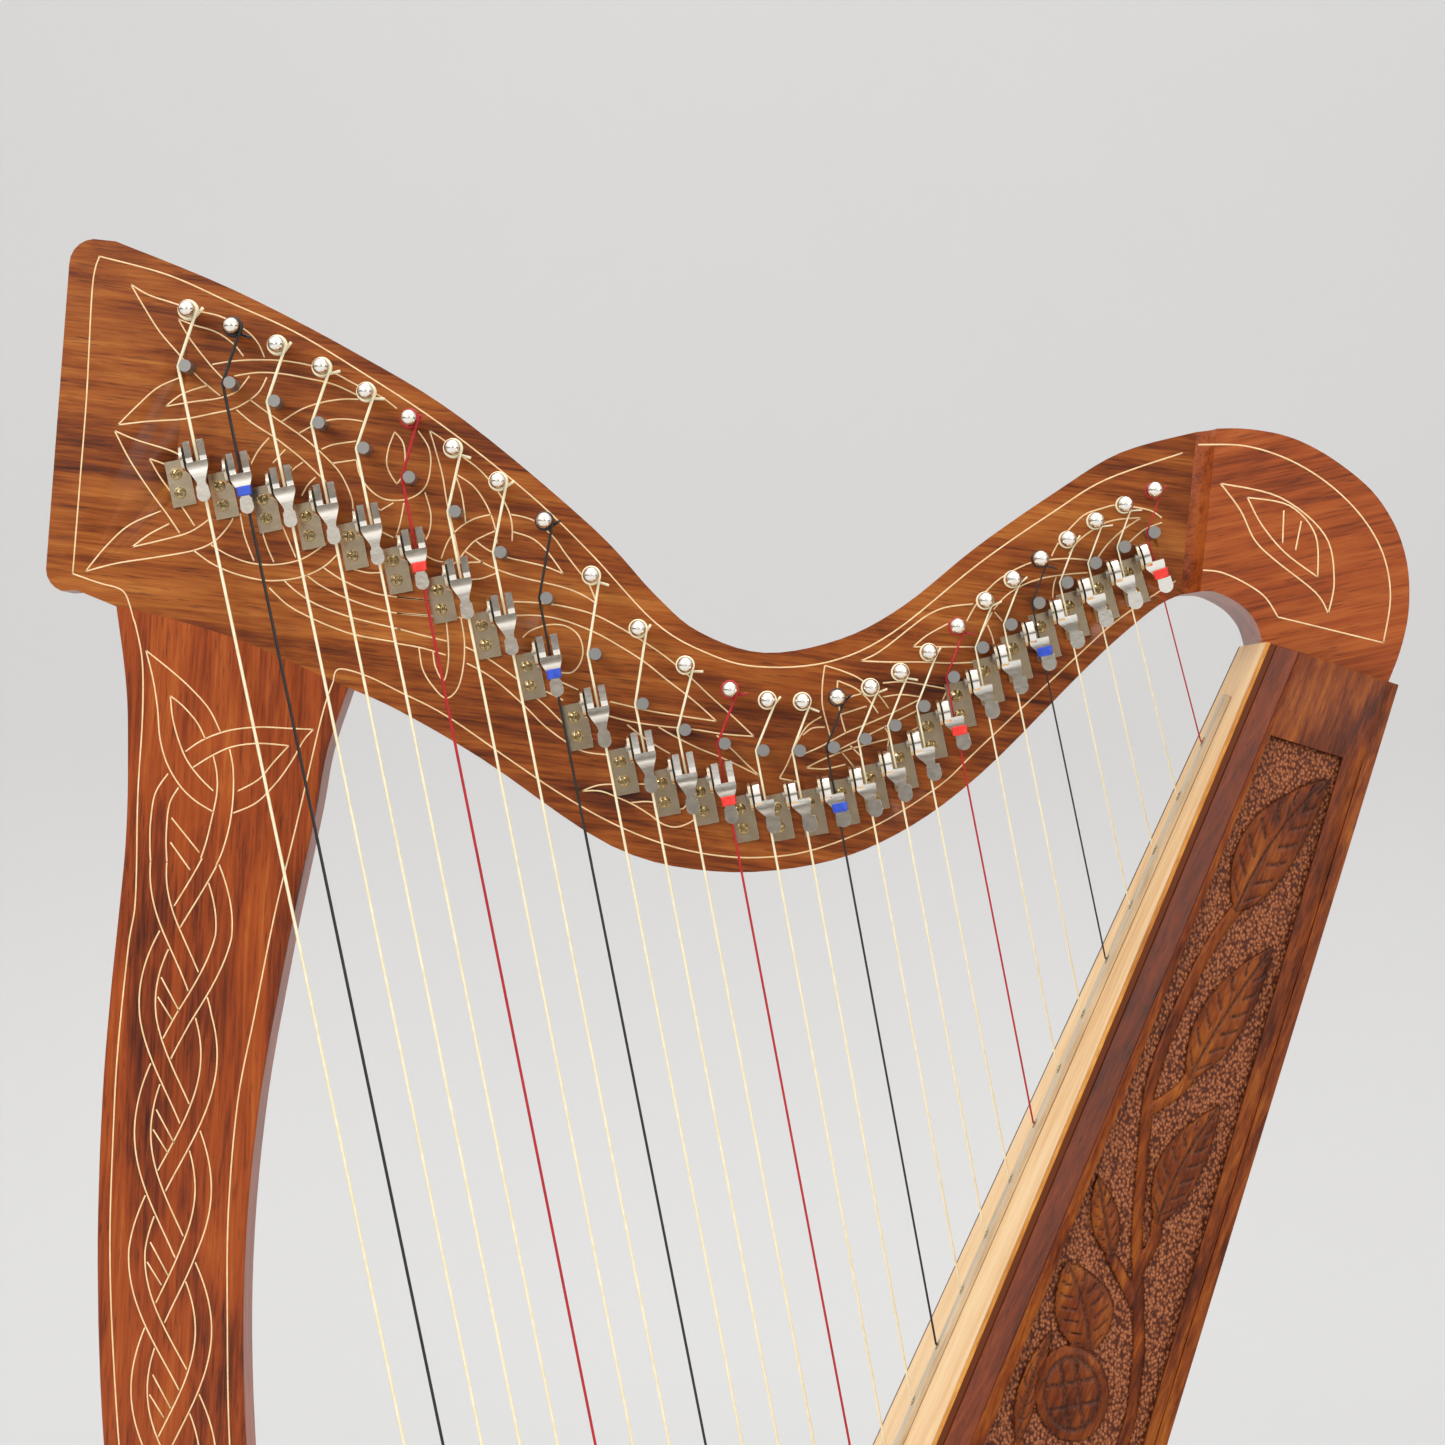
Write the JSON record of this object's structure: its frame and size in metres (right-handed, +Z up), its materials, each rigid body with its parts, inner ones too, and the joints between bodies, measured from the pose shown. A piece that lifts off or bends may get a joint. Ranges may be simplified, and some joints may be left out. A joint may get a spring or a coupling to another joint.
{
  "type": "lever harp",
  "caption": "Floor-standing lever harp with a carved staved soundbox, a curved inlaid neck and pillar, and a flip-up sharping lever on every string.",
  "frame": {"origin": "centre of the footprint's bounding box, on the plane that the feet stand on", "axes": "+Z up, +X from the pillar towards the soundbox, -Y the side that carries the levers"},
  "size_m": [0.5841, 0.28, 0.92],
  "materials": {
    "rosewood": "oiled and lacquered rosewood",
    "dark_rosewood": "dark lacquered rosewood",
    "spruce": "satin spruce",
    "pale_maple": "satin maple",
    "binding_wood": "golden lacquered hardwood",
    "nickel": "polished nickel plate",
    "steel": "turned steel",
    "brass": "dull brass",
    "black_fibre": "matt",
    "nylon_clear": "clear nylon, cream",
    "nylon_red": "red nylon",
    "nylon_black": "black nylon",
    "rubber": "matt black rubber"
  },
  "bodies": {
    "harp_frame": {"neck": "rosewood", "pillar": "rosewood", "shoulder_block": "rosewood", "joint_dowels": "spruce", "pillar_bolt": "steel", "top_block": "rosewood", "soundboard": "spruce", "string_rib": "pale_maple", "inner_rib": "spruce", "side_panel_left": "rosewood", "side_panel_right": "rosewood", "corner_stave_left": "dark_rosewood", "corner_stave_right": "dark_rosewood", "binding_left": "binding_wood", "binding_right": "binding_wood", "back_panel": "rosewood", "back_braces": "spruce", "bottom_block": "rosewood", "base_block": "rosewood", "base_plate": "dark_rosewood", "feet": "rubber", "base_screws": "steel", "tuning_pins": "nickel", "bridge_pins": "steel", "lever_brackets": "nickel", "bracket_screws": "brass", "lever_axles": "steel", "lever_washers": "black_fibre", "strings_natural": "nylon_clear", "strings_c": "nylon_red", "strings_f": "nylon_black", "string_eyelets": "brass", "string_knots": "nylon_clear"},
    "lever_01": {"lever_01": "nickel"},
    "lever_02": {"lever_02": "nickel"},
    "lever_03": {"lever_03": "nickel"},
    "lever_04": {"lever_04": "nickel"},
    "lever_05": {"lever_05": "nickel"},
    "lever_06": {"lever_06": "nickel"},
    "lever_07": {"lever_07": "nickel"},
    "lever_08": {"lever_08": "nickel"},
    "lever_09": {"lever_09": "nickel"},
    "lever_10": {"lever_10": "nickel"},
    "lever_11": {"lever_11": "nickel"},
    "lever_12": {"lever_12": "nickel"},
    "lever_13": {"lever_13": "nickel"},
    "lever_14": {"lever_14": "nickel"},
    "lever_15": {"lever_15": "nickel"},
    "lever_16": {"lever_16": "nickel"},
    "lever_17": {"lever_17": "nickel"},
    "lever_18": {"lever_18": "nickel"},
    "lever_19": {"lever_19": "nickel"},
    "lever_20": {"lever_20": "nickel"},
    "lever_21": {"lever_21": "nickel"},
    "lever_22": {"lever_22": "nickel"},
    "lever_23": {"lever_23": "nickel"},
    "lever_24": {"lever_24": "nickel"},
    "lever_25": {"lever_25": "nickel"},
    "lever_26": {"lever_26": "nickel"},
    "lever_27": {"lever_27": "nickel"}
  },
  "joints": [
    {"name": "lever_01_flip", "type": "hinge", "parent": "harp_frame", "child": "lever_01", "pos_m": [-0.22552, -0.0238, 0.82581], "axis": [-0.9796, 0, -0.2009], "range_deg": [0, 95]},
    {"name": "lever_02_flip", "type": "hinge", "parent": "harp_frame", "child": "lever_02", "pos_m": [-0.20698, -0.02381, 0.82062], "axis": [-0.9799, 0, -0.1992], "range_deg": [0, 95]},
    {"name": "lever_03_flip", "type": "hinge", "parent": "harp_frame", "child": "lever_03", "pos_m": [-0.18843, -0.02382, 0.81481], "axis": [-0.9803, 0, -0.1976], "range_deg": [0, 95]},
    {"name": "lever_04_flip", "type": "hinge", "parent": "harp_frame", "child": "lever_04", "pos_m": [-0.16993, -0.02384, 0.80756], "axis": [-0.9806, 0, -0.1961], "range_deg": [0, 95]},
    {"name": "lever_05_flip", "type": "hinge", "parent": "harp_frame", "child": "lever_05", "pos_m": [-0.1513, -0.02385, 0.79881], "axis": [-0.9809, 0, -0.1947], "range_deg": [0, 95]},
    {"name": "lever_06_flip", "type": "hinge", "parent": "harp_frame", "child": "lever_06", "pos_m": [-0.13229, -0.02386, 0.78838], "axis": [-0.9812, 0, -0.193], "range_deg": [0, 95]},
    {"name": "lever_07_flip", "type": "hinge", "parent": "harp_frame", "child": "lever_07", "pos_m": [-0.11315, -0.02387, 0.77582], "axis": [-0.9815, 0, -0.1915], "range_deg": [0, 95]},
    {"name": "lever_08_flip", "type": "hinge", "parent": "harp_frame", "child": "lever_08", "pos_m": [-0.09417, -0.02388, 0.76045], "axis": [-0.9816, 0, -0.191], "range_deg": [0, 95]},
    {"name": "lever_09_flip", "type": "hinge", "parent": "harp_frame", "child": "lever_09", "pos_m": [-0.07493, -0.02388, 0.74284], "axis": [-0.9817, 0, -0.1907], "range_deg": [0, 95]},
    {"name": "lever_10_flip", "type": "hinge", "parent": "harp_frame", "child": "lever_10", "pos_m": [-0.05458, -0.02387, 0.7211], "axis": [-0.9819, 0, -0.1895], "range_deg": [0, 95]},
    {"name": "lever_11_flip", "type": "hinge", "parent": "harp_frame", "child": "lever_11", "pos_m": [-0.03473, -0.02387, 0.70186], "axis": [-0.9822, 0, -0.188], "range_deg": [0, 95]},
    {"name": "lever_12_flip", "type": "hinge", "parent": "harp_frame", "child": "lever_12", "pos_m": [-0.01706, -0.02389, 0.69275], "axis": [-0.9824, 0, -0.1866], "range_deg": [0, 95]},
    {"name": "lever_13_flip", "type": "hinge", "parent": "harp_frame", "child": "lever_13", "pos_m": [-0.00051, -0.02394, 0.68889], "axis": [-0.9827, 0, -0.1853], "range_deg": [0, 95]},
    {"name": "lever_14_flip", "type": "hinge", "parent": "harp_frame", "child": "lever_14", "pos_m": [0.01675, -0.02348, 0.68151], "axis": [-0.9831, 0, -0.1833], "range_deg": [0, 95]},
    {"name": "lever_15_flip", "type": "hinge", "parent": "harp_frame", "child": "lever_15", "pos_m": [0.03217, -0.02341, 0.68209], "axis": [-0.9833, 0, -0.1821], "range_deg": [0, 95]},
    {"name": "lever_16_flip", "type": "hinge", "parent": "harp_frame", "child": "lever_16", "pos_m": [0.04652, -0.02334, 0.68425], "axis": [-0.983, 0, -0.1836], "range_deg": [0, 95]},
    {"name": "lever_17_flip", "type": "hinge", "parent": "harp_frame", "child": "lever_17", "pos_m": [0.06002, -0.02328, 0.68854], "axis": [-0.9824, 0, -0.187], "range_deg": [0, 95]},
    {"name": "lever_18_flip", "type": "hinge", "parent": "harp_frame", "child": "lever_18", "pos_m": [0.07268, -0.02322, 0.69503], "axis": [-0.9812, 0, -0.1929], "range_deg": [0, 95]},
    {"name": "lever_19_flip", "type": "hinge", "parent": "harp_frame", "child": "lever_19", "pos_m": [0.08495, -0.02317, 0.70401], "axis": [-0.98, 0, -0.1989], "range_deg": [0, 95]},
    {"name": "lever_20_flip", "type": "hinge", "parent": "harp_frame", "child": "lever_20", "pos_m": [0.09743, -0.02315, 0.71713], "axis": [-0.9798, 0, -0.2002], "range_deg": [0, 95]},
    {"name": "lever_21_flip", "type": "hinge", "parent": "harp_frame", "child": "lever_21", "pos_m": [0.10974, -0.02314, 0.73045], "axis": [-0.9794, 0, -0.202], "range_deg": [0, 95]},
    {"name": "lever_22_flip", "type": "hinge", "parent": "harp_frame", "child": "lever_22", "pos_m": [0.12176, -0.02309, 0.741], "axis": [-0.9779, 0, -0.2091], "range_deg": [0, 95]},
    {"name": "lever_23_flip", "type": "hinge", "parent": "harp_frame", "child": "lever_23", "pos_m": [0.13368, -0.02303, 0.75093], "axis": [-0.9758, 0, -0.2187], "range_deg": [0, 95]},
    {"name": "lever_24_flip", "type": "hinge", "parent": "harp_frame", "child": "lever_24", "pos_m": [0.14561, -0.02296, 0.76038], "axis": [-0.973, 0, -0.2308], "range_deg": [0, 95]},
    {"name": "lever_25_flip", "type": "hinge", "parent": "harp_frame", "child": "lever_25", "pos_m": [0.15766, -0.02286, 0.76946], "axis": [-0.9695, 0, -0.245], "range_deg": [0, 95]},
    {"name": "lever_26_flip", "type": "hinge", "parent": "harp_frame", "child": "lever_26", "pos_m": [0.17009, -0.02271, 0.77717], "axis": [-0.9648, 0, -0.2629], "range_deg": [0, 95]},
    {"name": "lever_27_flip", "type": "hinge", "parent": "harp_frame", "child": "lever_27", "pos_m": [0.1827, -0.0225, 0.78408], "axis": [-0.9578, 0, -0.2873], "range_deg": [0, 95]}
  ]
}
